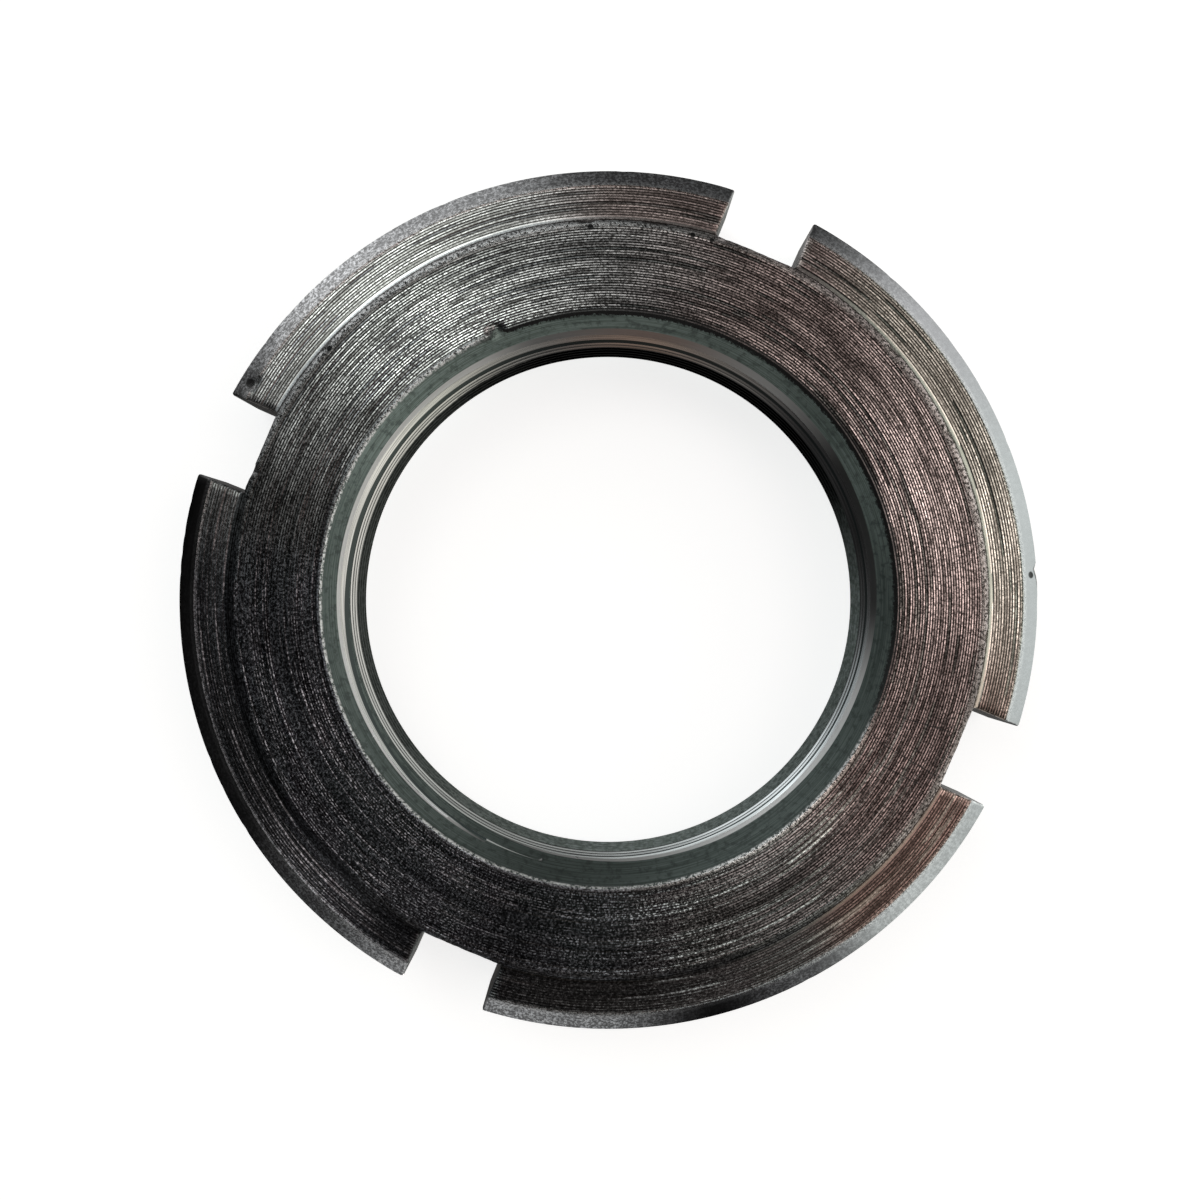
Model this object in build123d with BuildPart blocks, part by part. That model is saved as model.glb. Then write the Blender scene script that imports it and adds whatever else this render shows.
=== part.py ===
"""Slotted round lock nut, one turned and milled steel piece.

The nut lies flat: the back face is on Z = 0, the bearing land faces +Z, and the
thread axis is the Z axis.  The four spanner slots are centred on +X, +Y, -X and -Y.
All lengths are in millimetres.
"""
import os
from math import hypot, radians, tan

from build123d import *

# Overall size
outer_diameter = 48.0
thickness = 10.0

# Bearing land: the raised, turned ring around the bore on the +Z side
land_diameter = 42.0
land_step = 0.5
land_edge_width = 0.35
land_edge_drop = 0.2
step_fillet = 0.22

# Rim
rim_chamfer = 1.0

# Spanner slots
slot_count = 4
slot_width = 4.8
slot_depth = 3.1
slot_corner_radius = 0.2

# Thread: M30 x 1, right-hand, ISO metric profile with 60 degree flanks
thread_diameter = 30.0
pitch = 1.0
minor_diameter = thread_diameter - 1.0825 * pitch
root_flat = pitch / 8
flank_angle = 30.0
countersink_diameter = 31.9
groove_height_at_x_axis = 0.34

# The bar that the nut is cut from: bored and threaded before it is faced and parted off
bar_diameter = 50.0
bar_overrun = 3.0
groove_overrun_turns = 2
cutter_overlap = 0.12

# Derived sizes
outer_radius = outer_diameter / 2
land_radius = land_diameter / 2
rim_height = thickness - land_step
minor_radius = minor_diameter / 2
countersink_radius = countersink_diameter / 2
slot_floor_radius = outer_radius - slot_depth

os.makedirs("parts", exist_ok=True)


def bore_side():
    """Inner half of the section: both 45 degree countersinks, run on into the open bore."""
    inside = minor_radius - cutter_overlap
    cone_depth = countersink_radius - inside
    return [
        (countersink_radius, 0),
        (inside, cone_depth),
        (inside, thickness - cone_depth),
        (countersink_radius, thickness),
    ]


def rim_side():
    """Outer half of the section, from the land out and down to the back face."""
    return [
        (land_radius - land_edge_width, thickness),
        (land_radius, thickness - land_edge_drop),
        (land_radius, rim_height),
        (outer_radius - rim_chamfer, rim_height),
        (outer_radius, rim_height - rim_chamfer),
        (outer_radius, rim_chamfer),
        (outer_radius - rim_chamfer, 0),
    ]


def is_step_foot(corner):
    """True for the section corner where the land's step meets the rim."""
    return hypot(corner.X - land_radius, corner.Y - rim_height) < step_fillet / 2


def is_slot_floor_corner(corner):
    """True for the two corners of a slot nearest to the bore."""
    return hypot(corner.X, corner.Y) < outer_radius - slot_depth / 2


def groove_section():
    """Thread cutter outline: the root flat, the flanks and an overlap into the bore."""
    depth = (thread_diameter - minor_diameter) / 2 + cutter_overlap
    root = root_flat / 2
    mouth = root + depth * tan(radians(flank_angle))
    return [(0, -mouth), (depth, -root), (depth, root), (0, mouth)]


with BuildPart() as slotted_round_nut:
    # Bored bar, longer than the nut at both ends
    with BuildSketch(Plane.XY.offset(-bar_overrun)):
        Circle(bar_diameter / 2)
        Circle(minor_radius, mode=Mode.SUBTRACT)
    extrude(amount=thickness + 2 * bar_overrun)

    # Thread groove: the cutter's outline swept along a right-hand helix
    groove_start = groove_height_at_x_axis - groove_overrun_turns * pitch
    groove_length = thickness + 2 * groove_overrun_turns * pitch
    with BuildLine(Plane.XY.offset(groove_start)) as groove_line:
        Helix(pitch, groove_length, minor_radius - cutter_overlap)
    start = Plane(groove_line.line @ 0, x_dir=(1, 0, 0), z_dir=groove_line.line % 0)
    with BuildSketch(start):
        with BuildLine():
            Polyline(*groove_section(), close=True)
        make_face()
    sweep(path=groove_line.line, is_frenet=True, mode=Mode.SUBTRACT)

    # Turned shape: faces, countersinks, land, step and rim, as one revolved section
    with BuildSketch(Plane.XZ) as section:
        with BuildLine():
            Polyline(*bore_side(), *rim_side(), close=True)
        make_face()
        fillet(section.vertices().filter_by(is_step_foot), step_fillet)
    revolve(axis=Axis.Z, mode=Mode.INTERSECT)

    # Spanner slots, milled through the rim from face to face
    slot_length = slot_depth + rim_chamfer
    with BuildSketch(Plane.XY) as slots:
        with PolarLocations(slot_floor_radius + slot_length / 2, slot_count):
            Rectangle(slot_length, slot_width)
        fillet(slots.vertices().filter_by(is_slot_floor_corner), slot_corner_radius)
    extrude(amount=thickness, mode=Mode.SUBTRACT)

slotted_round_nut.part.label = "slotted_round_nut"
export_step(slotted_round_nut.part, "parts/slotted_round_nut.step")
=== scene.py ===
"""A slotted round nut of turned steel, seen straight down on its raised land."""

import math

import bmesh
import bpy
import numpy as np
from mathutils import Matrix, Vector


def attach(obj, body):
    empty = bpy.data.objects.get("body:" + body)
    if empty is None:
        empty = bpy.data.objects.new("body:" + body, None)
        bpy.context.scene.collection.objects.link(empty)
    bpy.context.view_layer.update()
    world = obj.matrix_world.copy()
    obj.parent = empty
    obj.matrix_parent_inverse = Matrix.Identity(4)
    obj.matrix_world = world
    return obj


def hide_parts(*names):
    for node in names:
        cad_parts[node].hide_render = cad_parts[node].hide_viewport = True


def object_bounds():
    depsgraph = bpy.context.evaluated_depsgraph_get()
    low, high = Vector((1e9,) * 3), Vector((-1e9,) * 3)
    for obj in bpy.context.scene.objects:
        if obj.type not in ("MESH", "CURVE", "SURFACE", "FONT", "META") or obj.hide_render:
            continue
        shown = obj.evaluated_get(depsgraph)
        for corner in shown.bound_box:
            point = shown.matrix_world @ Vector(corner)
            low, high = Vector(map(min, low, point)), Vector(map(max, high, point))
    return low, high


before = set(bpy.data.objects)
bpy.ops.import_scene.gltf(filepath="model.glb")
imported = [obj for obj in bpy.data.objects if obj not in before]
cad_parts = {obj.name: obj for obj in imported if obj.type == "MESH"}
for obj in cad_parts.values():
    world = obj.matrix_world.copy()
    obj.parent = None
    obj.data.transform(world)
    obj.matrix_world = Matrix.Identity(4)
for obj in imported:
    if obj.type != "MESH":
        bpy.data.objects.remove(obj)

cad_low, cad_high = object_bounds()

# ---------------------------------------------------------------- sizes, in millimetres

MM = 0.001
NODE = "slotted_round_nut"

node_points = np.array([v.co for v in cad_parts[NODE].data.vertices]) / MM
outer_radius = float(np.hypot(node_points[:, 0], node_points[:, 1]).max())
thickness = (cad_high.z - cad_low.z) / MM

land_radius = 21.0
land_step = 0.5
land_edge_width = 0.35
land_edge_drop = 0.2
rim_chamfer = 1.0
countersink_radius = 15.95
slot_count = 4
slot_half_width = 2.4
slot_floor = 20.9
slot_corner_radius = 0.2
edge_rounding = 0.12

thread_major = 15.0
thread_minor = 14.459
pitch = 1.0
root_half_width = pitch / 16
flank_slope = math.tan(math.radians(30))
groove_height_at_x_axis = 0.34

# the thread's mesh: levels in one pitch, and the gap below which a point joins its neighbour
levels_in_pitch = 7
merge_gap = 1e-4

rim_height = thickness - land_step
land_face_radius = land_radius - land_edge_width
chamfer_foot = outer_radius - rim_chamfer
corner_x = slot_floor + slot_corner_radius
corner_radius = math.hypot(corner_x, slot_half_width)
corner_angle = math.atan2(slot_half_width, corner_x)

# feed marks that the turning tool left: how many grooves, and how deep
land_grooves = 33
rim_grooves = 12
back_grooves = 8
groove_depth = 0.018
back_marks_margin = 0.3
back_middle = 22.1

# how far burred edges are broken back: the spread of a random depth
land_burr_depth = 0.014
chamfer_burr_depth = 0.010

# columns of the mesh round the axis
lobe_columns = 96
slot_floor_columns = 21
corner_columns = 3
quarter = 2 * math.pi / slot_count
lobe_turn = quarter - 2 * corner_angle
lobe_length = lobe_turn * corner_radius

# The camera looks along -Z, turned so that the +X slot points down to the right. Its lens and its
# height, in millimetres, give the photo's framing and perspective.
CAMERA_TURN = math.radians(22.9)
CAMERA_ABOVE_LAND = 100.0
CAMERA_ASIDE = 0.47
CAMERA_LENS = 54.42
CAMERA_SENSOR = 36.0

rng = np.random.default_rng(30)


def seen_at(angle):
    """The azimuth about +Z of a direction this many degrees clockwise from the camera's right."""
    return CAMERA_TURN - math.radians(angle)


# ---------------------------------------------------------------- columns


def slot_plan():
    """Plan points of the +X slot's floor and corners, from one wall to the other."""
    floor_half = slot_half_width - slot_corner_radius
    corner = []
    for i in range(1, corner_columns + 1):
        turn = math.pi / 2 * i / (corner_columns + 1)
        x = corner_x - slot_corner_radius * math.sin(turn)
        y = floor_half + slot_corner_radius * math.cos(turn)
        corner.append((x, y))
    floor = [(slot_floor, y) for y in np.linspace(floor_half, -floor_half, slot_floor_columns)]
    upper = corner + floor
    lower = [(x, -y) for x, y in reversed(corner)]
    return list(reversed(upper + lower))


def lobe_shares():
    """Where a lobe's columns stand, from 0 at one slot to 1 at the next, closest near its ends."""
    start = [share * edge_rounding / lobe_length for share in (0.0, 0.25, 0.58, 1.0)]
    middle = np.linspace(start[-1], 1 - start[-1], lobe_columns - 2 * len(start) + 2)[1:-1]
    return start + list(middle) + [1 - s for s in reversed(start)]


class Column:
    """One radial section of the nut: where it stands, and whether it passes through a slot."""

    def __init__(self, turn, slot_radius=None, share=None, near_slot=0.0):
        self.turn = turn
        self.slot_radius = slot_radius
        self.share = share
        self.near_slot = near_slot

    def angle(self, radius):
        """Beside a slot the column follows the straight wall, so its angle changes with the radius."""
        if self.share is None or radius <= corner_radius:
            return self.turn
        wall = math.asin(slot_half_width / radius)
        return self.near_slot + wall + self.share * (quarter - 2 * wall)

    def rounding(self):
        """How far the lobe's end has curved away from its faces here, for a rounded edge."""
        if self.share is None:
            return 0.0
        gap = min(self.share, 1 - self.share) * lobe_length
        if gap >= edge_rounding:
            return 0.0
        return edge_rounding - math.sqrt(edge_rounding**2 - (edge_rounding - gap) ** 2)


def make_columns():
    columns = []
    for slot in range(slot_count):
        middle = slot * quarter
        for x, y in slot_plan():
            columns.append(Column(middle + math.atan2(y, x), slot_radius=math.hypot(x, y)))
        for share in lobe_shares():
            turn = middle + corner_angle + share * lobe_turn
            columns.append(Column(turn, share=share, near_slot=middle))
    return columns


# ---------------------------------------------------------------- rows of the section


def feed_marks(start, end, height, grooves, depth, sign=-1.0):
    """Rows of a turned flat face: cusps at its level, with the bottom of a groove between each two."""
    rows = []
    step = (end - start) / grooves
    for i in range(grooves):
        wander = rng.uniform(-0.12, 0.12) * step
        deep = depth * rng.uniform(0.45, 1.1)
        rows.append(dict(r=start + i * step, z=height, cusp=True, normal=(0, -sign)))
        bottom = start + (i + 0.5) * step + wander
        rows.append(dict(r=bottom, z=height + sign * deep, deep=deep, normal=(0, -sign)))
    return rows


def arc_rows(centre, radius, first, last, count, normal):
    rows = []
    for turn in np.linspace(first, last, count):
        r = centre[0] + radius * math.cos(turn)
        z = centre[1] + radius * math.sin(turn)
        rows.append(dict(r=r, z=z, normal=normal))
    return rows


def top_inner_rows():
    """From the countersink's edge over the land and down its step to the foot."""
    rows = feed_marks(countersink_radius, land_face_radius, thickness, land_grooves, groove_depth)
    for share in (0.0, 0.4, 0.71, 1.0):
        place = dict(r=land_face_radius + share * land_edge_width, z=thickness - share * land_edge_drop)
        rows.append(dict(**place, cusp=share == 0.0, burr=land_burr_depth))
    foot = corner_radius - land_radius
    centre = (corner_radius, rim_height + foot)
    rows += arc_rows(centre, foot, math.pi, 1.5 * math.pi, 5, (0, 1))
    return rows


def outer_rows():
    """From the land's foot over the rim, chamfers and outside to the back face, in the lobes only."""
    slant = math.sqrt(0.5)
    rows = feed_marks(corner_radius, chamfer_foot, rim_height, rim_grooves, groove_depth)[1:]
    for share in (0.0, 0.06, 0.5, 0.95):
        out = share * rim_chamfer
        place = dict(r=chamfer_foot + out, z=rim_height - out, cusp=share == 0.0)
        rows.append(dict(**place, normal=(slant, slant), burr=chamfer_burr_depth))
    for z in np.linspace(rim_height - rim_chamfer, rim_chamfer, 9):
        rows.append(dict(r=outer_radius, z=z, normal=(1, 0)))
    for share in (0.05, 0.5, 1.0):
        out = share * rim_chamfer
        rows.append(dict(r=outer_radius - out, z=rim_chamfer - out, normal=(slant, -slant)))
    rows.append(dict(r=back_middle, z=0.0, normal=(0, -1)))
    return rows


def back_inner_rows():
    """The back face from the slots' corners in to the countersink's edge."""
    rows = [dict(r=corner_radius, z=0.0, normal=(0, -1), slot_z=edge_rounding)]
    rows.append(dict(r=corner_radius - edge_rounding, z=0.0, normal=(0, -1), slot_back=edge_rounding))
    end = slot_floor - back_marks_margin
    marks = feed_marks(countersink_radius, end, 0.0, back_grooves, groove_depth, sign=1.0)
    return rows + list(reversed(marks))


# ---------------------------------------------------------------- the bore


def groove_height(turn):
    """Height of the groove's middle, which rises by one pitch in a turn, as a right-hand thread does."""
    return groove_height_at_x_axis + pitch * turn / (2 * math.pi)


def thread_radius(z, turn):
    """The thread's wall at a height: out at the groove, in at the crest, with a slanted flank between."""
    away = abs((z - groove_height(turn) + pitch / 2) % pitch - pitch / 2)
    flank = thread_major - (away - root_half_width) / flank_slope
    return min(thread_major, max(thread_minor, flank))


def cone_radius(z):
    """The countersinks' wall at a height."""
    return countersink_radius - min(z, thickness - z)


def bore_levels(turn):
    """Heights of a column's rows up the bore, rising with the thread so that each keeps to its edge."""
    flank = root_half_width + (thread_major - thread_minor) * flank_slope
    corners = (-flank, -root_half_width, root_half_width, flank, pitch - flank)
    levels = []
    for start in range(-3, int(thickness / pitch) + 2):
        base = groove_height(turn) + start * pitch
        for low, high in zip(corners, corners[1:]):
            levels.append(base + low)
            if low != -root_half_width:
                levels.append(crossing(base + low, base + high, turn))
    return levels


def crossing(low, high, turn):
    """Where the thread's wall meets a countersink between two heights, or half way between them."""
    low_in, high_in = max(low, 0.0), min(high, thickness)
    if low_in >= high_in:
        return (low + high) / 2
    nudge = 1e-6
    before = thread_radius(low_in + nudge, turn) - cone_radius(low_in + nudge)
    after = thread_radius(high_in - nudge, turn) - cone_radius(high_in - nudge)
    if before * after < 0:
        return low_in + (high_in - low_in) * before / (before - after)
    return (low + high) / 2


# ---------------------------------------------------------------- the mesh


class Builder:
    """Collects points and faces, each face with its zone, which is the number of its material."""

    def __init__(self):
        self.points = []
        self.faces = []
        self.zones = []
        self.cusps = set()

    def point(self, x, y, z):
        self.points.append((x, y, z))
        return len(self.points) - 1

    def face(self, corners, zone):
        kept = [c for i, c in enumerate(corners) if c != corners[i - 1]]
        if len(set(kept)) >= 3:
            self.faces.append(kept)
            self.zones.append(zone)


TURNED, THREAD, COUNTERSINK, MILLED = range(4)


def ring_noise(count, smooth):
    """Random numbers round a ring, about 1 in size, blurred over a few neighbours."""
    raw = rng.normal(size=count)
    kernel = np.hanning(2 * smooth + 3)
    wrapped = np.concatenate([raw, raw, raw])
    blurred = np.convolve(wrapped, kernel, mode="same")[count : 2 * count]
    return blurred / blurred.std()


def place_row(builder, columns, row, lobes_only=False):
    """One ring of points: each column's point number, or None in a slot that the row doesn't cross."""
    count = len(columns)
    sway = ring_noise(count, 12)
    burr = ring_noise(count, 0) * row.get("burr", 0.0)
    ids = []
    for j, column in enumerate(columns):
        r, z = row["r"], row["z"]
        if column.slot_radius is not None:
            if lobes_only:
                ids.append(None)
                continue
            r = min(r, column.slot_radius - row.get("slot_back", 0.0))
            z = row.get("slot_z", z)
        normal_r, normal_z = row.get("normal", (0, 0))
        away = column.rounding() if r >= corner_radius - 1e-6 and "slot_back" not in row else 0.0
        if row.get("deep"):
            z -= normal_z * row["deep"] * 0.25 * float(np.clip(sway[j], -1.5, 1.5))
        turn = column.angle(r)
        r -= away * normal_r + abs(burr[j])
        z -= away * normal_z + (abs(burr[j]) * 0.6 if row.get("burr") else 0.0)
        ids.append(builder.point(r * math.cos(turn), r * math.sin(turn), z))
    if row.get("cusp"):
        builder.cusps.update(i for i in ids if i is not None)
    return ids


def join_rows(builder, rows, zone, keep=lambda j: True):
    """Faces between each two rows, all round."""
    count = len(rows[0])
    for upper, lower in zip(rows, rows[1:]):
        for j in range(count):
            k = (j + 1) % count
            if keep(j) and None not in (upper[j], upper[k], lower[j], lower[k]):
                builder.face([upper[j], lower[j], lower[k], upper[k]], zone)


def build_bore(builder, columns, top, bottom):
    """The thread and both countersinks, between the land's inner edge and the back face's."""
    grid, heights = [], []
    for j, column in enumerate(columns):
        ids = []
        levels = [min(thickness, max(0.0, z)) for z in bore_levels(column.turn)]
        for z in levels:
            if z <= merge_gap:
                ids.append(bottom[j])
            elif z >= thickness - merge_gap:
                ids.append(top[j])
            else:
                r = max(thread_radius(z, column.turn), cone_radius(z))
                ids.append(builder.point(r * math.cos(column.turn), r * math.sin(column.turn), z))
        grid.append(ids)
        heights.append(levels)
    count = len(columns)
    for j in range(count):
        k = (j + 1) % count
        # the last column meets the first where the thread is a whole pitch higher
        shift = levels_in_pitch if k == 0 else 0
        for i in range(len(grid[j]) - 1 - shift):
            corners = [grid[j][i], grid[k][i + shift], grid[k][i + 1 + shift], grid[j][i + 1]]
            z = (heights[j][i] + heights[j][i + 1]) / 2
            on_cone = cone_radius(z) > thread_radius(z, columns[j].turn) - merge_gap
            builder.face(corners, COUNTERSINK if on_cone else THREAD)


def build_nut():
    builder = Builder()
    columns = make_columns()
    count = len(columns)
    top = [place_row(builder, columns, row) for row in top_inner_rows()]
    outer = [place_row(builder, columns, row, lobes_only=True) for row in outer_rows()]
    back = [place_row(builder, columns, row) for row in back_inner_rows()]

    def in_lobe(j):
        k = (j + 1) % count
        return columns[j].slot_radius is None and columns[k].slot_radius is None

    def in_slot(j):
        return not in_lobe(j)

    join_rows(builder, top, TURNED)
    join_rows(builder, [top[-1]] + outer + [back[0]], TURNED, in_lobe)
    last_back = place_row(builder, columns, dict(r=countersink_radius, z=0.0))
    join_rows(builder, back + [last_back], TURNED)

    wall_levels = []
    for z in np.linspace(rim_height, edge_rounding, 6)[1:-1]:
        wall_levels.append([wall_point(builder, columns, j, z) for j in range(count)])
    join_rows(builder, [top[-1]] + wall_levels + [back[0]], MILLED, in_slot)

    for j in range(count):
        before, after = columns[j - 1], columns[(j + 1) % count]
        if columns[j].slot_radius is not None:
            continue
        rim = [top[-1][j]] + [row[j] for row in outer] + [back[0][j]]
        wall = [row[j] for row in reversed(wall_levels)]
        if before.slot_radius is not None:
            builder.face(rim + wall, MILLED)
        if after.slot_radius is not None:
            builder.face(list(reversed(rim + wall)), MILLED)

    build_bore(builder, columns, top[0], last_back)
    return builder


def wall_point(builder, columns, j, z):
    """A point of a slot's wall, in its floor, its corners and the end columns of the lobes beside it."""
    column = columns[j]
    neighbours = (columns[j - 1], columns[(j + 1) % len(columns)])
    if column.slot_radius is not None:
        r = column.slot_radius
    elif any(n.slot_radius is not None for n in neighbours):
        r = corner_radius
    else:
        return None
    return builder.point(r * math.cos(column.turn), r * math.sin(column.turn), z)


def dent(points, angle, radius, height, size, push):
    """Presses the points within size of a place by push, a distance outwards and a distance up."""
    turn = seen_at(angle)
    centre = np.array([radius * math.cos(turn), radius * math.sin(turn), height])
    gap = np.linalg.norm(points - centre, axis=1) / size
    weight = np.clip(1 - gap**2, 0, 1) ** 1.5
    move = np.array([push[0] * math.cos(turn), push[0] * math.sin(turn), push[1]])
    points += weight[:, None] * move


# knocks on the land's outer edge: degrees and size
LAND_KNOCKS = ((200, 0.4), (222, 0.35), (267, 0.45), (319, 0.5), (334, 0.45), (288, 0.3), (236, 0.3))


def wear(points):
    """Knocks that the edges have taken: some where the photo has them, then small ones at random."""
    land_edge = (land_radius - 0.1, thickness - 0.1)
    dent(points, 247.5, countersink_radius + 0.1, thickness, 0.55, (0.30, -0.20))
    dent(points, 211.4, outer_radius - 0.75, rim_height, 0.55, (-0.15, -0.35))
    for angle, size in LAND_KNOCKS:
        dent(points, angle, *land_edge, size, (-0.16, -0.10))
    dent(points, 356, outer_radius - 0.2, rim_height - rim_chamfer + 0.2, 0.5, (-0.2, -0.12))
    for angle in rng.uniform(0, 360, 26):
        size = rng.uniform(0.2, 0.35)
        dent(points, angle, outer_radius, rim_height - rim_chamfer, size, (-0.02, -0.02))
    for angle in rng.uniform(0, 360, 18):
        dent(points, angle, chamfer_foot, 0.0, rng.uniform(0.3, 0.6), (-0.03, 0.05))


def to_object(builder, materials):
    points = np.array(builder.points)
    wear(points)
    mesh = bpy.data.meshes.new("turned_nut")
    mesh.from_pydata(points * MM, [], builder.faces)
    for material in materials:
        mesh.materials.append(material)
    mesh.polygons.foreach_set("material_index", builder.zones)
    mesh.update()
    work = bmesh.new()
    work.from_mesh(mesh)
    work.verts.ensure_lookup_table()
    bmesh.ops.recalc_face_normals(work, faces=work.faces)
    for face in work.faces:
        face.smooth = True
    for edge in work.edges:
        a, b = edge.verts
        in_bore = all(math.hypot(v.co.x, v.co.y) < (countersink_radius - 0.01) * MM for v in (a, b))
        limit = math.radians(8 if in_bore else 32)
        same_cusp = a.index in builder.cusps and b.index in builder.cusps
        edge.smooth = edge.calc_face_angle(0.0) < limit and not same_cusp
    work.to_mesh(mesh)
    work.free()
    nut = bpy.data.objects.new("turned_nut", mesh)
    bpy.context.scene.collection.objects.link(nut)
    return nut


# ---------------------------------------------------------------- node helper


class Tree:
    """Short names for the nodes that the materials and the studio are made of."""

    def __init__(self, tree):
        self.tree = tree
        self.tree.nodes.clear()

    def node(self, kind, **values):
        made = self.tree.nodes.new("ShaderNode" + kind)
        for name, value in values.items():
            setattr(made, name, value)
        return made

    def feed(self, socket, value):
        if isinstance(value, bpy.types.NodeSocket):
            self.tree.links.new(value, socket)
        elif value is not None:
            socket.default_value = value

    def math(self, operation, *values, clamp=False):
        made = self.node("Math", operation=operation, use_clamp=clamp)
        for socket, value in zip(made.inputs, values):
            self.feed(socket, value)
        return made.outputs[0]

    def vector(self, operation, *values):
        made = self.node("VectorMath", operation=operation)
        for socket, value in zip(made.inputs, values):
            self.feed(socket, value)
        return made.outputs[0]

    def scale(self, vector, factor):
        made = self.node("VectorMath", operation="SCALE")
        self.feed(made.inputs[0], vector)
        self.feed(made.inputs["Scale"], factor)
        return made.outputs[0]

    def step(self, value, low, high, to_low=0.0, to_high=1.0):
        """Rises smoothly from to_low at low to to_high at high."""
        made = self.node("MapRange", interpolation_type="SMOOTHSTEP")
        for socket, given in zip(made.inputs, (value, low, high, to_low, to_high)):
            self.feed(socket, given)
        return made.outputs[0]

    def combine(self, x, y, z):
        made = self.node("CombineXYZ")
        for socket, value in zip(made.inputs, (x, y, z)):
            self.feed(socket, value)
        return made.outputs[0]

    def noise(self, vector, scale, detail=2.0, roughness=0.5):
        made = self.node("TexNoise")
        given = {"Vector": vector, "Scale": scale, "Detail": detail, "Roughness": roughness}
        for name, value in given.items():
            self.feed(made.inputs[name], value)
        return made.outputs[0]

    def between(self, share, a, b):
        """A number that goes from a to b as share goes from 0 to 1."""
        return self.math("ADD", a, self.math("MULTIPLY", share, self.math("SUBTRACT", b, a)))

    def blend(self, factor, a, b, kind="MIX"):
        """A mix of two colours, whose sockets are numbers 6 and 7, with the result in output 2."""
        made = self.node("Mix", data_type="RGBA", blend_type=kind)
        self.feed(made.inputs[0], factor)
        self.feed(made.inputs[6], a)
        self.feed(made.inputs[7], b)
        return made.outputs[2]

    def times(self, a, b):
        return self.blend(1.0, a, b, "MULTIPLY")

    def ramp(self, place, stops):
        """A colour for each place from 0 to 1, smooth between stops of (degrees, colour)."""
        made = self.node("ValToRGB")
        made.color_ramp.interpolation = "EASE"
        elements = made.color_ramp.elements
        while len(elements) > 1:
            elements.remove(elements[-1])
        for i, (degrees, colour) in enumerate(stops):
            element = elements[0] if i == 0 else elements.new(degrees / 360)
            element.position = degrees / 360
            element.color = (*colour, 1.0)
        self.feed(made.inputs[0], place)
        return made.outputs[0]

    def seen_share(self, x, y):
        """How far round clockwise from the camera's right a direction lies, from 0 to 1."""
        azimuth = self.math("ARCTAN2", y, x)
        turn = self.math("DIVIDE", self.math("SUBTRACT", CAMERA_TURN, azimuth), 2 * math.pi)
        return self.math("WRAP", turn, 1.0, 0.0)

    def bump(self, height, strength, distance, normal=None):
        made = self.node("Bump")
        given = {"Height": height, "Strength": strength, "Distance": distance, "Normal": normal}
        for name, value in given.items():
            self.feed(made.inputs[name], value)
        return made.outputs[0]


def grey(value, warm=0.0):
    """A grey, redder by warm or bluer where warm is negative."""
    return (value * (1 + warm), value, value * (1 - warm), 1.0)


class Round:
    """Where a surface point is on the nut, in millimetres and turns, as node sockets."""

    def __init__(self, tree):
        self.place = tree.scale(tree.node("TexCoord").outputs["Object"], 1 / MM)
        split = tree.node("SeparateXYZ")
        tree.feed(split.inputs[0], self.place)
        self.x, self.y, self.z = split.outputs
        across = tree.math("MULTIPLY", self.x, self.x)
        self.radius = tree.math("SQRT", tree.math("MULTIPLY_ADD", self.y, self.y, across))
        self.seen = tree.seen_share(self.x, self.y)
        self.unit_x = tree.math("DIVIDE", self.x, self.radius)
        self.unit_y = tree.math("DIVIDE", self.y, self.radius)

    def streaks(self, tree, out, along, up=0.0):
        """Noise drawn out round the axis: its changes in a mm of radius, a radian and a mm of height."""
        height = tree.math("MULTIPLY", self.z, up)
        across = tree.math("MULTIPLY_ADD", self.radius, out, height)
        x = tree.math("MULTIPLY", self.unit_x, along)
        y = tree.math("MULTIPLY", self.unit_y, along)
        return tree.noise(tree.combine(across, x, y), 1.0, 3.0, 0.6)


def steel(name, roughness):
    """A metal material with its tree, its shader and the place of each point."""
    material = bpy.data.materials.new(name)
    material.use_nodes = True
    tree = Tree(material.node_tree)
    shader = tree.node("BsdfPrincipled")
    shader.inputs["Metallic"].default_value = 1.0
    shader.inputs["Roughness"].default_value = roughness
    output = tree.node("OutputMaterial")
    tree.feed(output.inputs["Surface"], shader.outputs[0])
    return material, tree, shader, Round(tree)


def shade(*levels):
    """Stops of a ramp from (degrees, level) or (degrees, level, red, green, blue)."""
    stops = []
    for degrees, level, *tinted in levels:
        stops.append((degrees, tuple(level * c for c in (tinted or (1, 1, 1)))))
    return stops


# Painted light and shade round the nut: clockwise degrees from the camera's right, and a level.
# The stops are listed after comparing renders with how bright the photo is round the nut.
# the tints of the painted reflections
WARM = (1.12, 0.96, 0.92)
CREAM = (1.0, 0.99, 0.88)
BROWNISH = (1.2, 0.92, 0.82)
COLD = (0.93, 0.97, 1.05)
LAND_PAINTED_LIGHT = shade(
    (0, 0.70, *WARM), (15, 0.47, *WARM), (35, 0.66, *WARM), (60, 0.70), (75, 0.50), (92, 0.42, *COLD),
    (105, 0.30, *COLD), (122, 0.48, *COLD), (150, 0.34, *COLD), (182, 0.22, *COLD), (196, 0.22),
    (212, 0.46), (230, 0.74), (245, 0.90), (257, 0.80), (270, 0.60), (300, 0.62, *WARM),
    (318, 0.56, *WARM), (330, 0.62, *WARM), (345, 0.82, *WARM), (360, 0.70, *WARM),
)
RIM_PAINTED_LIGHT = shade(
    (0, 1.05, *CREAM), (25, 0.54, *BROWNISH), (50, 0.5, *BROWNISH), (62, 0.42), (90, 0.18),
    (122, 0.13, *COLD), (135, 0.48, *COLD), (152, 0.14, *COLD), (180, 0.16, *COLD), (200, 0.3),
    (215, 0.6), (230, 0.96), (245, 1.15), (257, 1.0), (272, 0.52, *WARM), (300, 0.45, *WARM),
    (315, 0.7, *CREAM), (332, 0.87, *CREAM), (347, 0.97, *CREAM), (360, 1.05, *CREAM),
)
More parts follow.
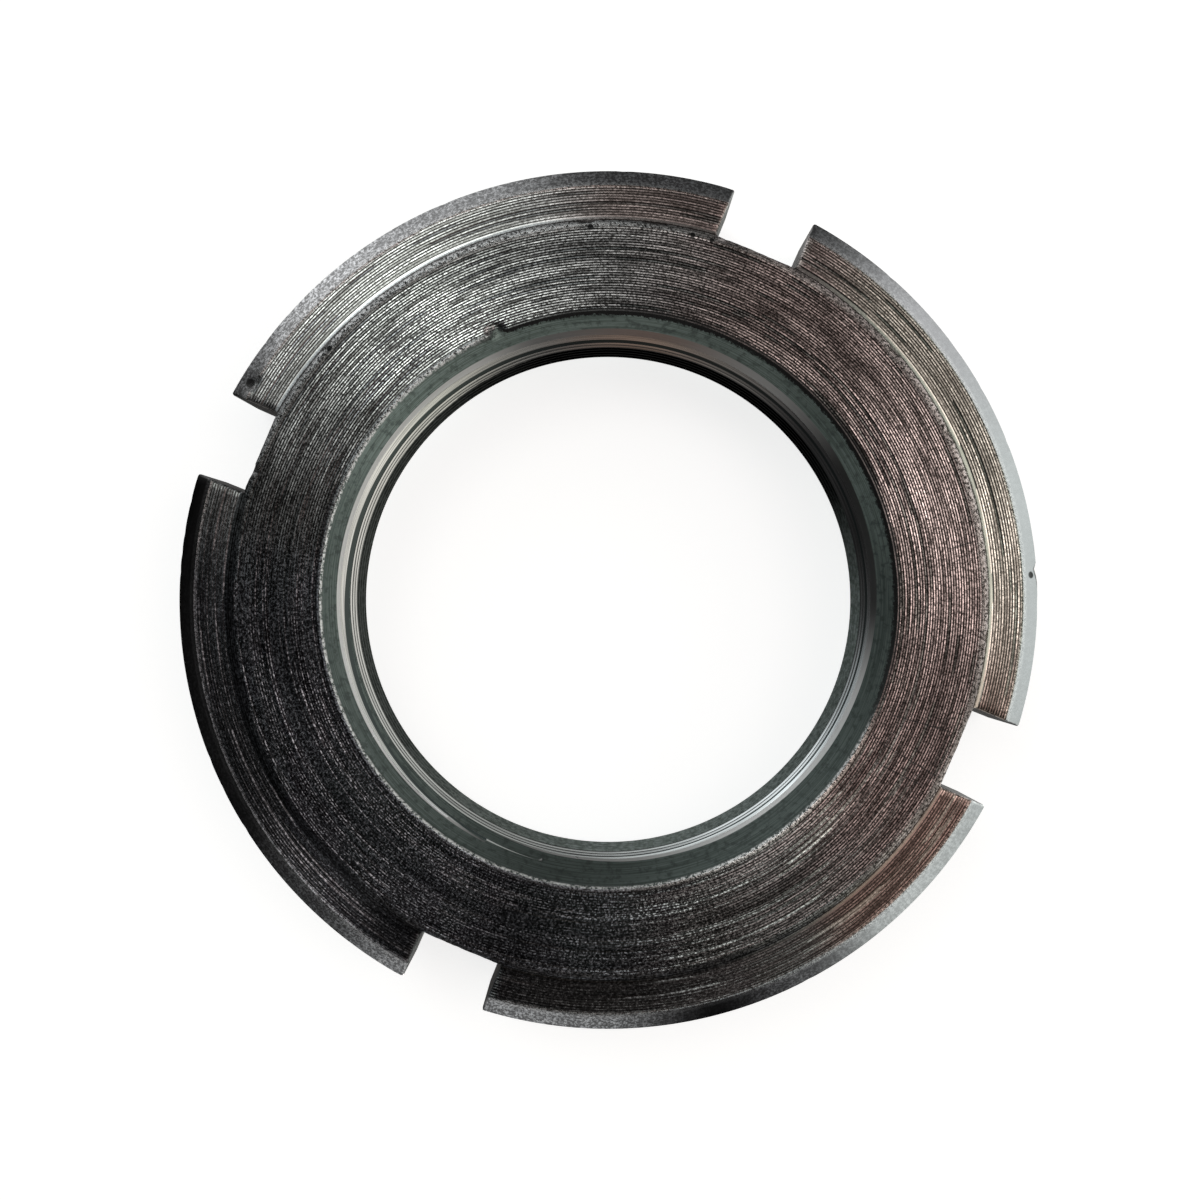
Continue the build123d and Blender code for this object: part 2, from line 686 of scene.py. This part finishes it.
CHAMFER_PAINTED_LIGHT = shade(
    (0, 0.72), (30, 0.72), (50, 0.88), (62, 0.62), (75, 0.03), (92, 0.82), (120, 1.15), (135, 0.52),
    (150, 0.06), (198, 0.01), (208, 0.22), (224, 0.75), (255, 1.0), (272, 0.42), (296, 0.2),
    (318, 0.64), (360, 0.72),
)
CONE_PAINTED_LIGHT = shade(
    (0, 0.45), (60, 0.48), (100, 0.30), (135, 0.48), (185, 0.62), (225, 1.15), (330, 0.9), (360, 0.45),
)
THREAD_PAINTED_LIGHT = shade(
    (0, 0.4), (18, 0.85), (45, 1.1), (90, 0.95), (225, 1.05), (250, 0.95), (275, 0.9, 1.15, 0.95, 0.85),
    (300, 0.9), (325, 0.3), (345, 0.22), (360, 0.4),
)
# the painted highlight of the thread's first turn, by direction
LIP_PAINTED_HIGHLIGHT = shade(
    (0, 0.06), (25, 0.9), (50, 1.0), (95, 0.4), (117, 0.2), (128, 0.6), (150, 1.0), (238, 0.95),
    (256, 0.28), (280, 0.3, *BROWNISH), (305, 0.55), (332, 0.05), (360, 0.06),
)
# painted light and shade by direction on the dark back half of the bore
BACK_BORE_PAINTED_LIGHT = shade(
    (0, 1.2), (30, 0.8), (90, 1.15), (120, 0.95), (150, 0.36), (225, 0.26), (242, 0.08), (258, 0.0),
    (320, 0.0), (333, 0.08), (347, 0.75), (360, 1.2),
)

# where edges with a burr carry painted glints, and where the rim's fillet has a painted highlight
BORE_EDGE_GLINT = shade(
    (0, 0.0), (18, 0.1), (30, 0.9), (60, 1.0), (90, 0.8), (150, 0.9), (200, 1.0), (238, 0.9),
    (250, 0.0), (360, 0.0),
)
LAND_EDGE_GLINT = shade(
    (0, 0.7), (30, 0.4), (60, 0.15), (190, 0.12), (212, 0.9), (265, 0.9), (285, 0.3), (308, 0.5),
    (330, 0.9), (360, 0.7),
)
FILLET_SHINE = shade(
    (0, 1.0), (50, 0.6), (70, 0.0), (190, 0.0), (205, 0.8), (255, 1.0), (275, 0.3), (305, 0.5),
    (330, 1.0), (360, 1.0),
)
# painted glints on the chamfer, by direction
CHAMFER_SPARKLE = shade(
    (0, 0.05), (50, 0.3), (70, 0.9), (200, 0.9), (215, 0.9), (250, 0.7), (275, 0.9), (300, 0.6),
    (320, 0.1), (360, 0.05),
)
# where the feed marks' painted highlights break up into speckle, by direction
SPECKLE = shade(
    (0, 0.25), (60, 0.2), (78, 0.85), (180, 0.9), (200, 0.35), (225, 0.15), (275, 0.3), (360, 0.25),
)

# The thread's first turn starts this many degrees clockwise from the camera's right, with its lower
# edge this far below the land, in millimetres. Then come the softness of its edges and, by degrees
# past its start, how far out from the crest its lip's painted highlight and its shoulder's painted
# shade reach. Both reaches are edge positions read from the photo and rounded.
FIRST_TURN_START = 117
FIRST_TURN_DROP = 1.42
FIRST_TURN_BLUR = 0.015
LIP_HIGHLIGHT_REACH = shade(
    (0, 0.66), (170, 0.64), (200, 0.60), (230, 0.50), (270, 0.38), (303, 0.27), (323, 0.19),
    (343, 0.10), (360, 0.02),
)
SHOULDER_SHADE_REACH = shade(
    (0, 0.62), (10, 0.50), (36, 0.39), (76, 0.24), (103, 0.17), (180, 0.13), (273, 0.06), (323, 0.02),
    (360, 0.0),
)

# where the inner land has a painted highlight: degrees of its middle, how many degrees away that fades in
# and is full, and the radii where it fades in and is full
INNER_HIGHLIGHT_AT = 52
INNER_HIGHLIGHT_WITHIN = (36, 8)
INNER_HIGHLIGHT_INSIDE = (18.4, 17.6)

# the height below which the bore is coloured dark, and half the depth over which it changes
DARK_BORE_TOP = 5.46
DARK_BORE_FADE = 0.04

# straight scratches over the land: degrees, first and last radius, half width, and how much they lean
LAND_SCRATCHES = (
    (22.0, 17.0, 20.4, 0.07, 0.10),
    (27.7, 16.6, 20.8, 0.06, -0.05),
    (31.3, 17.2, 20.2, 0.06, 0.08),
    (351.5, 19.0, 20.6, 0.08, 0.15),
)

# small dark pits: degrees, radius and size
PITS = (
    (211.2, 23.3, 0.34),
    (267.2, 20.65, 0.20),
    (283.0, 20.66, 0.18),
    (286.0, 20.64, 0.16),
    (356.6, 23.6, 0.24),
    (248.0, 15.98, 0.36),
    (199.0, 20.8, 0.18),
    (222.0, 20.75, 0.20),
)


def near(tree, value, centre, width):
    """1 where a value is at the centre, falling to 0 at width from it."""
    gap = tree.math("ABSOLUTE", tree.math("SUBTRACT", value, centre))
    return tree.step(gap, width, 0.0)


def painted_feed_highlights(tree, at, start, spacing):
    """1 on the painted highlights of the feed marks, on the flank of each groove that faces outwards."""
    drift = 0.03
    radius = tree.math("MULTIPLY_ADD", at.streaks(tree, 0.7, 4.0), drift, at.radius)
    first = start + drift / 2 + spacing / 4
    phase = tree.math("DIVIDE", tree.math("SUBTRACT", radius, first), spacing)
    wave = tree.math("ABSOLUTE", tree.math("MULTIPLY_ADD", tree.math("FRACT", phase), 2.0, -1.0))
    return tree.step(wave, 0.36, 0.84)


def scratch(tree, at, angle, first, last, width, lean=0.0):
    """1 along a straight scratch that runs outwards over the land from one radius to another."""
    turn = seen_at(angle)
    along = tree.math("MULTIPLY_ADD", at.x, math.cos(turn), tree.math("MULTIPLY", at.y, math.sin(turn)))
    aside = tree.math("MULTIPLY_ADD", at.x, -math.sin(turn), tree.math("MULTIPLY", at.y, math.cos(turn)))
    aside = tree.math("MULTIPLY_ADD", tree.math("SUBTRACT", along, first), -lean, aside)
    line = near(tree, aside, 0.0, width)
    begun = tree.step(along, first - 0.1, first + 0.2)
    inside = tree.math("MULTIPLY", begun, tree.step(along, last + 0.1, last - 0.4))
    return tree.math("MULTIPLY", line, inside)


def pit(tree, at, angle, radius, size):
    """1 in a small round pit."""
    turn = seen_at(angle)
    aside = tree.math("SUBTRACT", at.x, radius * math.cos(turn))
    along = tree.math("SUBTRACT", at.y, radius * math.sin(turn))
    gap = tree.math("SQRT", tree.math("MULTIPLY_ADD", aside, aside, tree.math("MULTIPLY", along, along)))
    return tree.step(gap, size, size * 0.6)


def most(tree, *values):
    result = values[0]
    for value in values[1:]:
        result = tree.math("MAXIMUM", result, value)
    return result


def painted_line_highlights(tree, at, on_rim, strength, broad, grain):
    """The feed marks as painted highlights on land and rim: uneven, and in places broken up into speckle.
    """
    land_spacing = (land_face_radius - countersink_radius) / land_grooves
    rim_spacing = (chamfer_foot - corner_radius) / rim_grooves
    land_lines = painted_feed_highlights(tree, at, countersink_radius, land_spacing)
    rim_lines = painted_feed_highlights(tree, at, corner_radius, rim_spacing)
    lines = tree.between(on_rim, land_lines, rim_lines)
    lines = tree.math("MULTIPLY", lines, tree.step(strength, 0.36, 0.58, 0.06, 1.0))
    lines = tree.math("MULTIPLY", lines, tree.step(grain, 0.38, 0.60, 0.04, 1.15))
    lines = tree.math("MULTIPLY", lines, tree.step(broad, 0.35, 0.58, 0.35, 1.0))
    speckle = tree.step(at.streaks(tree, 9.0, 140.0), 0.46, 0.66)
    speckle = tree.math("MULTIPLY_ADD", lines, 0.35, tree.math("MULTIPLY", speckle, 0.75))
    return tree.between(tree.ramp(at.seen, SPECKLE), lines, speckle)


def worn_edges(tree, at, broad, grain):
    """Painted glints on the burr, worn edges, the fillet's painted highlight, the bore's painted shade
    line.
    """
    # painted glints on the edges with a burr, by direction
    glinting_side = tree.ramp(at.seen, BORE_EDGE_GLINT)
    bore_edge_glint = tree.math("MULTIPLY", near(tree, at.radius, countersink_radius + 0.05, 0.2), glinting_side)
    ragged = tree.math("MULTIPLY_ADD", grain, 0.5, tree.math("SUBTRACT", at.radius, 0.25))
    land_edge_glint = near(tree, ragged, land_radius - 0.15, 0.36)
    land_edge_glint = tree.math("MULTIPLY", land_edge_glint, tree.ramp(at.seen, LAND_EDGE_GLINT))
    chamfer_edge = tree.math("MULTIPLY", near(tree, at.radius, chamfer_foot + 0.05, 0.25), 0.7)
    burrs_and_glints = most(tree, bore_edge_glint, land_edge_glint, chamfer_edge)

    beside = tree.math("MINIMUM", tree.math("ABSOLUTE", at.x), tree.math("ABSOLUTE", at.y))
    outside_land = tree.step(at.radius, land_radius + 0.2, land_radius + 0.5)
    lobe_end = tree.math("MULTIPLY", near(tree, beside, slot_half_width, 0.16), outside_land)
    # worn metal on edges and the lobes' ends: partly real wear, partly painted glints
    chips = tree.step(grain, 0.42, 0.54)
    chipped = tree.math("MULTIPLY", tree.math("MAXIMUM", burrs_and_glints, lobe_end), chips)
    # a painted highlight along the rim's fillet, by direction
    fillet = near(tree, at.radius, corner_radius - 0.02, 0.16)
    fillet = tree.math("MULTIPLY", fillet, tree.ramp(at.seen, FILLET_SHINE))
    fillet = tree.math("MULTIPLY", fillet, tree.step(broad, 0.34, 0.56, 0.6, 1.25))
    bare_metal_and_glints = tree.math("MAXIMUM", chipped, tree.math("MULTIPLY", fillet, 0.8))

    # a painted shade line round the bore's edge, where it has no painted glint
    shaded_edge = tree.step(ragged, countersink_radius + 0.26, countersink_radius + 0.14)
    shaded_edge = tree.math("MULTIPLY", shaded_edge, tree.math("SUBTRACT", 1.0, glinting_side))
    return burrs_and_glints, bare_metal_and_glints, shaded_edge


def turned_steel():
    """Land, rim, chamfers and outside, each with its own lines, burr marks and painted light and shade.
    """
    material, tree, shader, at = steel("turned_steel", 0.2)
    on_rim = tree.step(at.radius, land_radius - 0.03, land_radius + 0.03)
    strength = at.streaks(tree, 5.0, 6.0, 5.0)
    broad = at.streaks(tree, 1.6, 2.0, 3.0)
    grain = tree.noise(at.place, 6.0, 3.0, 0.75)
    lines = painted_line_highlights(tree, at, on_rim, strength, broad, grain)
    burrs_and_glints, bare_metal_and_glints, shaded_edge = worn_edges(tree, at, broad, grain)
    upper = tree.step(at.z, thickness - 2 * rim_chamfer, thickness - 1.7 * rim_chamfer)
    bare_metal_and_glints = tree.math("MULTIPLY", bare_metal_and_glints, upper, clamp=True)

    # a painted highlight on the inner land
    inner = tree.step(at.radius, *INNER_HIGHLIGHT_INSIDE)
    away = tree.math("ABSOLUTE", tree.math("SUBTRACT", at.seen, INNER_HIGHLIGHT_AT / 360))
    inner_highlight = tree.step(away, *[degrees / 360 for degrees in INNER_HIGHLIGHT_WITHIN], 0.0, 0.9)
    highlight_gain = tree.math("MULTIPLY_ADD", tree.math("MULTIPLY", inner, inner_highlight), broad, 1.0)
    # painted light and shade round the nut, lifted where the inner land has its painted highlight
    painted_light = tree.scale(tree.ramp(at.seen, LAND_PAINTED_LIGHT), highlight_gain)
    # the feed marks: painted highlights over painted shade in their grooves
    land = tree.blend(lines, grey(0.035, 0.03), grey(1.0))
    land = tree.times(tree.blend(bare_metal_and_glints, land, grey(1.0)), painted_light)
    # the painted shade line round the bore, and the real scratches
    dark = tree.math("MULTIPLY", shaded_edge, upper)
    for angle, first, last, width, lean in LAND_SCRATCHES:
        dark = tree.math("MAXIMUM", dark, scratch(tree, at, angle, first, last, width, lean))
    land = tree.blend(tree.math("MULTIPLY", dark, 0.85), land, grey(0.03))

    # the rim's feed marks: painted highlights over painted shade in their grooves
    rim = tree.blend(lines, grey(0.11, 0.03), grey(1.0))
    # painted light and shade round the nut on the rim
    rim = tree.times(tree.blend(bare_metal_and_glints, rim, grey(1.0)), tree.ramp(at.seen, RIM_PAINTED_LIGHT))

    # painted glints on the chamfer, with painted dark specks among them
    sparkle = tree.step(at.streaks(tree, 2.5, 110.0), 0.40, 0.62)
    sparkling = tree.ramp(at.seen, CHAMFER_SPARKLE)
    side = tree.blend(tree.math("MULTIPLY", sparkle, sparkling), grey(0.54, -0.02), grey(1.0, -0.02))
    spots = tree.math("MULTIPLY", sparkling, tree.step(grain, 0.56, 0.46))
    side = tree.blend(spots, side, grey(0.16))
    # painted light and shade round the nut on the chamfer
    chamfer = tree.times(tree.blend(bare_metal_and_glints, side, grey(0.95)), tree.ramp(at.seen, CHAMFER_PAINTED_LIGHT))

    turned = tree.step(at.streaks(tree, 6.0, 3.0, -9.0), 0.32, 0.68)
    wall = tree.blend(turned, grey(0.27, 0.02), grey(0.5, 0.02))
    wall = tree.scale(wall, tree.step(at.z, 0.1, 1.0, 0.55, 1.0))

    colour = tree.blend(on_rim, land, rim)
    colour = tree.blend(tree.step(at.radius, chamfer_foot - 0.02, chamfer_foot + 0.04), colour, chamfer)
    lower = tree.step(at.z, rim_height - rim_chamfer - 0.1, rim_height - rim_chamfer - 0.4)
    colour = tree.blend(lower, colour, wall)
    pits = most(tree, *[pit(tree, at, *place) for place in PITS])
    colour = tree.blend(tree.math("MULTIPLY", pits, upper), colour, grey(0.02))
    tree.feed(shader.inputs["Base Color"], colour)
    tree.feed(shader.inputs["Roughness"], tree.step(broad, 0.3, 0.7, 0.15, 0.24))

    marks = tree.bump(strength, 0.35, 0.004 * MM)
    rough = tree.math("MULTIPLY", burrs_and_glints, grain)
    tree.feed(shader.inputs["Normal"], tree.bump(rough, 0.9, 0.10 * MM, marks))
    return material


def first_thread(tree, at, reach):
    """1 on the first turn of the thread where it is nearer to the axis than a reach from the crest."""
    past = tree.math("FRACT", tree.math("SUBTRACT", at.seen, FIRST_TURN_START / 360 - 1.0))
    limit = tree.math("ADD", tree.ramp(past, reach), thread_minor)
    low_edge = tree.math("SUBTRACT", thickness - FIRST_TURN_DROP, tree.math("MULTIPLY", past, pitch))
    above = tree.step(at.z, tree.math("SUBTRACT", low_edge, 2 * FIRST_TURN_BLUR), low_edge)
    gap = tree.math("SUBTRACT", limit, at.radius)
    return tree.math("MULTIPLY", tree.step(gap, -FIRST_TURN_BLUR, FIRST_TURN_BLUR), above)


def recess_mix(tree, at):
    """1 in the back half of the bore, which is coloured dark, with an uneven front edge."""
    wavy = tree.noise(at.place, 1.3, 3.0, 0.6)
    height = tree.math("MULTIPLY_ADD", wavy, 0.12, at.z)
    return tree.step(height, DARK_BORE_TOP + DARK_BORE_FADE, DARK_BORE_TOP - DARK_BORE_FADE)


def thread_steel():
    """The thread in painted light and shade: bright in front, dark crests and shoulder, dark behind."""
    shoulder_shade_colour = (0.07, 0.085, 0.085, 1)
    greenish_low, greenish_high = (0.12, 0.14, 0.13, 1), (0.24, 0.27, 0.26, 1)
    material, tree, shader, at = steel("thread_steel", 0.26)
    lines = at.streaks(tree, 10.0, 2.0, 22.0)
    grain = tree.noise(at.place, 3.5, 3.0, 0.6)
    bright = tree.blend(tree.step(lines, 0.36, 0.60), grey(0.45), grey(0.85))
    # painted light and shade round the bore
    bright = tree.times(bright, tree.ramp(at.seen, THREAD_PAINTED_LIGHT))
    # painted shade on the thread's crests
    crest = tree.step(at.radius, thread_minor + 0.05, thread_minor + 0.01)
    bright = tree.blend(tree.math("MULTIPLY", crest, 0.6), bright, grey(0.06))
    # painted shade on the shoulder of the thread's first turn
    bright = tree.blend(first_thread(tree, at, SHOULDER_SHADE_REACH), bright, shoulder_shade_colour)
    # the back half of the bore: dark greenish grey, under painted light and shade by direction
    dark = tree.blend(tree.step(grain, 0.35, 0.65), greenish_low, greenish_high)
    dark = tree.times(dark, tree.ramp(at.seen, BACK_BORE_PAINTED_LIGHT))
    recess = recess_mix(tree, at)
    tree.feed(shader.inputs["Base Color"], tree.blend(recess, bright, dark))
    tree.feed(shader.inputs["Roughness"], tree.math("MULTIPLY_ADD", recess, 0.35, 0.24))
    tree.feed(shader.inputs["Normal"], tree.bump(lines, 0.3, 0.01 * MM))
    return material


def countersink_steel():
    """The countersinks: painted greenish reflection, with the first turn's painted highlight in front."""
    greenish_low, greenish_high = (0.11, 0.145, 0.132, 1), (0.25, 0.31, 0.29, 1)
    dark_spot = (0.07, 0.09, 0.085, 1)
    material, tree, shader, at = steel("countersink_steel", 0.45)
    shader.inputs["Metallic"].default_value = 0.4
    lines = at.streaks(tree, 12.0, 3.0, 12.0)
    grain = tree.noise(at.place, 2.5, 4.0, 0.65)
    # a painted reflection of dark greenish surroundings
    colour = tree.blend(tree.step(lines, 0.35, 0.65), greenish_low, greenish_high)
    colour = tree.blend(tree.step(grain, 0.48, 0.66, 0.0, 0.7), colour, dark_spot)
    # painted light and shade round the countersinks
    colour = tree.times(colour, tree.ramp(at.seen, CONE_PAINTED_LIGHT))
    # the painted highlight of the thread's first turn, laid on the countersink
    lip = tree.times(tree.blend(lines, grey(0.6), grey(0.9)), tree.ramp(at.seen, LIP_PAINTED_HIGHLIGHT))
    # painted glints on the bore's edge where it has a burr, and a painted shade line where it has none
    glinting_side = tree.ramp(at.seen, BORE_EDGE_GLINT)
    burr = tree.math("MULTIPLY", tree.step(at.z, thickness - 0.16, thickness - 0.06), glinting_side)
    flecks = tree.noise(at.place, 6.0, 3.0, 0.75)
    colour = tree.blend(tree.math("MULTIPLY", burr, tree.step(flecks, 0.42, 0.56)), colour, grey(1.0))
    uneven = tree.math("MULTIPLY_ADD", flecks, 0.5, tree.math("SUBTRACT", at.z, 0.25))
    glintless_side = tree.math("SUBTRACT", 1.0, glinting_side)
    shaded_edge = tree.math("MULTIPLY", tree.step(uneven, thickness - 0.24, thickness - 0.16), glintless_side)
    colour = tree.blend(shaded_edge, colour, grey(0.01))
    shoulder = first_thread(tree, at, SHOULDER_SHADE_REACH)
    shown = tree.math("SUBTRACT", first_thread(tree, at, LIP_HIGHLIGHT_REACH), shoulder, clamp=True)
    colour = tree.blend(shown, colour, lip)
    tree.feed(shader.inputs["Base Color"], colour)
    tree.feed(shader.inputs["Normal"], tree.bump(lines, 0.25, 0.01 * MM))
    return material


def milled_steel():
    material, tree, shader, at = steel("milled_steel", 0.38)
    strokes = tree.noise(tree.vector("MULTIPLY", at.place, (0.5, 0.5, 9.0)), 1.0, 3.0, 0.6)
    colour = tree.blend(tree.step(strokes, 0.35, 0.65), grey(0.22, 0.03), grey(0.45, 0.03))
    tree.feed(shader.inputs["Base Color"], colour)
    tree.feed(shader.inputs["Normal"], tree.bump(strokes, 0.3, 0.02 * MM))
    return material


# ---------------------------------------------------------------- studio


def tint(value, red=1.0, green=1.0, blue=1.0):
    return (value * red, value * green, value * blue)


# the studio's light by direction: clockwise degrees from the camera's right, and a colour
HORIZON_LIGHT = [
    (0, tint(1.3, 0.95, 1, 0.97)),
    (45, tint(1.0, 0.96, 1, 0.96)),
    (60, tint(0.20)),
    (76, tint(0.10)),
    (92, tint(0.42)),
    (115, tint(0.30)),
    (135, tint(0.09)),
    (195, tint(0.08)),
    (212, tint(0.5)),
    (227, tint(1.35)),
    (246, tint(0.6)),
    (270, tint(0.16)),
    (294, tint(0.25)),
    (318, tint(1.2)),
    (345, tint(1.45, 0.95, 1, 0.97)),
    (360, tint(1.3, 0.95, 1, 0.97)),
]
SIDE_LIGHT = [
    (0, tint(0.75, 1, 0.98, 0.90)),
    (30, tint(0.80, 1, 0.98, 0.88)),
    (48, tint(0.70, 1, 1, 0.86)),
    (62, tint(0.26, 1, 0.95, 0.85)),
    (75, tint(0.06)),
    (92, tint(0.14, 1.2, 1, 0.85)),
    (118, tint(0.12, 1.1, 1, 0.9)),
    (140, tint(0.04)),
    (180, tint(0.04)),
    (200, tint(0.35, 0.9, 1, 1.02)),
    (226, tint(1.4, 0.92, 1, 1.02)),
    (250, tint(0.8, 0.92, 1, 1.0)),
    (275, tint(0.30, 0.95, 1, 0.97)),
    (300, tint(0.40, 0.95, 1, 0.95)),
    (330, tint(0.62, 0.97, 1, 0.93)),
    (360, tint(0.75, 1, 0.98, 0.90)),
]
HIGH_LIGHT = [
    (0, tint(1.85, 1.12, 0.94, 0.90)),
    (30, tint(0.62, 1.2, 0.90, 0.85)),
    (60, tint(0.36, 1.1, 0.96, 0.9)),
    (85, tint(0.06)),
    (185, tint(0.05, 0.95, 1, 1.1)),
    (207, tint(1.1)),
    (228, tint(4.0, 0.97, 1.03, 0.97)),
    (245, tint(3.3, 0.97, 1.03, 0.97)),
    (262, tint(0.9)),
    (290, tint(0.44, 1.12, 0.94, 0.9)),
    (315, tint(1.1, 1.1, 0.96, 0.92)),
    (338, tint(2.7, 1.08, 0.97, 0.93)),
    (350, tint(2.9, 1.08, 0.97, 0.93)),
    (360, tint(1.85, 1.12, 0.94, 0.90)),
]
# the bands of height that they fill: lowest and highest elevation, and how far their edges fade
BANDS = (
    (HORIZON_LIGHT, -60, 12, 14),
    (SIDE_LIGHT, 20, 54, 14),
    (HIGH_LIGHT, 58, 82, 10),
)
ZENITH_LIGHT = 0.03


def light_world():
    world = bpy.data.worlds.new("studio")
    bpy.context.scene.world = world
    world.use_nodes = True
    tree = Tree(world.node_tree)
    split = tree.node("SeparateXYZ")
    tree.feed(split.inputs[0], tree.node("TexCoord").outputs["Generated"])
    x, y, z = split.outputs
    seen = tree.seen_share(x, y)
    elevation = tree.math("ARCSINE", z)
    total = tree.scale((1.0, 1.0, 1.0), ZENITH_LIGHT)
    for stops, low, high, fade in BANDS:
        low, high, half = math.radians(low), math.radians(high), math.radians(fade) / 2
        above = tree.step(elevation, low - half, low + half)
        inside = tree.math("MULTIPLY", above, tree.step(elevation, high + half, high - half))
        total = tree.vector("ADD", total, tree.scale(tree.ramp(seen, stops), inside))
    studio = tree.node("Background")
    tree.feed(studio.inputs["Color"], total)
    backdrop = tree.node("Background")
    backdrop.inputs["Color"].default_value = (0.93, 0.93, 0.93, 1)
    mix = tree.node("MixShader")
    tree.feed(mix.inputs[0], tree.node("LightPath").outputs["Is Camera Ray"])
    tree.feed(mix.inputs[1], studio.outputs[0])
    tree.feed(mix.inputs[2], backdrop.outputs[0])
    output = tree.node("OutputWorld")
    tree.feed(output.inputs["Surface"], mix.outputs[0])


def add_floor():
    material = bpy.data.materials.new("pale_floor")
    material.use_nodes = True
    tree = Tree(material.node_tree)
    shader = tree.node("BsdfPrincipled")
    shader.inputs["Base Color"].default_value = (0.5, 0.5, 0.5, 1)
    shader.inputs["Roughness"].default_value = 1.0
    shader.inputs["Specular IOR Level"].default_value = 0.0
    shader.inputs["Emission Color"].default_value = (1, 1, 1, 1)
    shader.inputs["Emission Strength"].default_value = 0.78
    output = tree.node("OutputMaterial")
    tree.feed(output.inputs["Surface"], shader.outputs[0])
    half = 3.0
    gap = 0.05 * MM
    mesh = bpy.data.meshes.new("floor")
    corners = [(-half, -half, 0), (half, -half, 0), (half, half, 0), (-half, half, 0)]
    mesh.from_pydata(corners, [], [(0, 1, 2, 3)])
    mesh.materials.append(material)
    floor = bpy.data.objects.new("floor", mesh)
    floor.location.z = cad_low.z - gap
    floor.visible_glossy = False
    bpy.context.scene.collection.objects.link(floor)


def add_camera():
    data = bpy.data.cameras.new("overhead")
    data.sensor_width = CAMERA_SENSOR
    data.lens = CAMERA_LENS
    data.clip_start = 0.001
    camera = bpy.data.objects.new("overhead", data)
    centre = (cad_low + cad_high) / 2
    camera.location = (
        centre.x - CAMERA_ASIDE * MM * math.cos(CAMERA_TURN),
        centre.y - CAMERA_ASIDE * MM * math.sin(CAMERA_TURN),
        cad_high.z + CAMERA_ABOVE_LAND * MM,
    )
    camera.rotation_euler = (0, 0, CAMERA_TURN)
    bpy.context.scene.collection.objects.link(camera)
    bpy.context.scene.camera = camera


# ---------------------------------------------------------------- the scene

add_camera()
light_world()
add_floor()
bpy.context.scene.view_settings.view_transform = "Standard"

nut = to_object(build_nut(), [turned_steel(), thread_steel(), countersink_steel(), milled_steel()])
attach(nut, "root")
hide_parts(NODE)
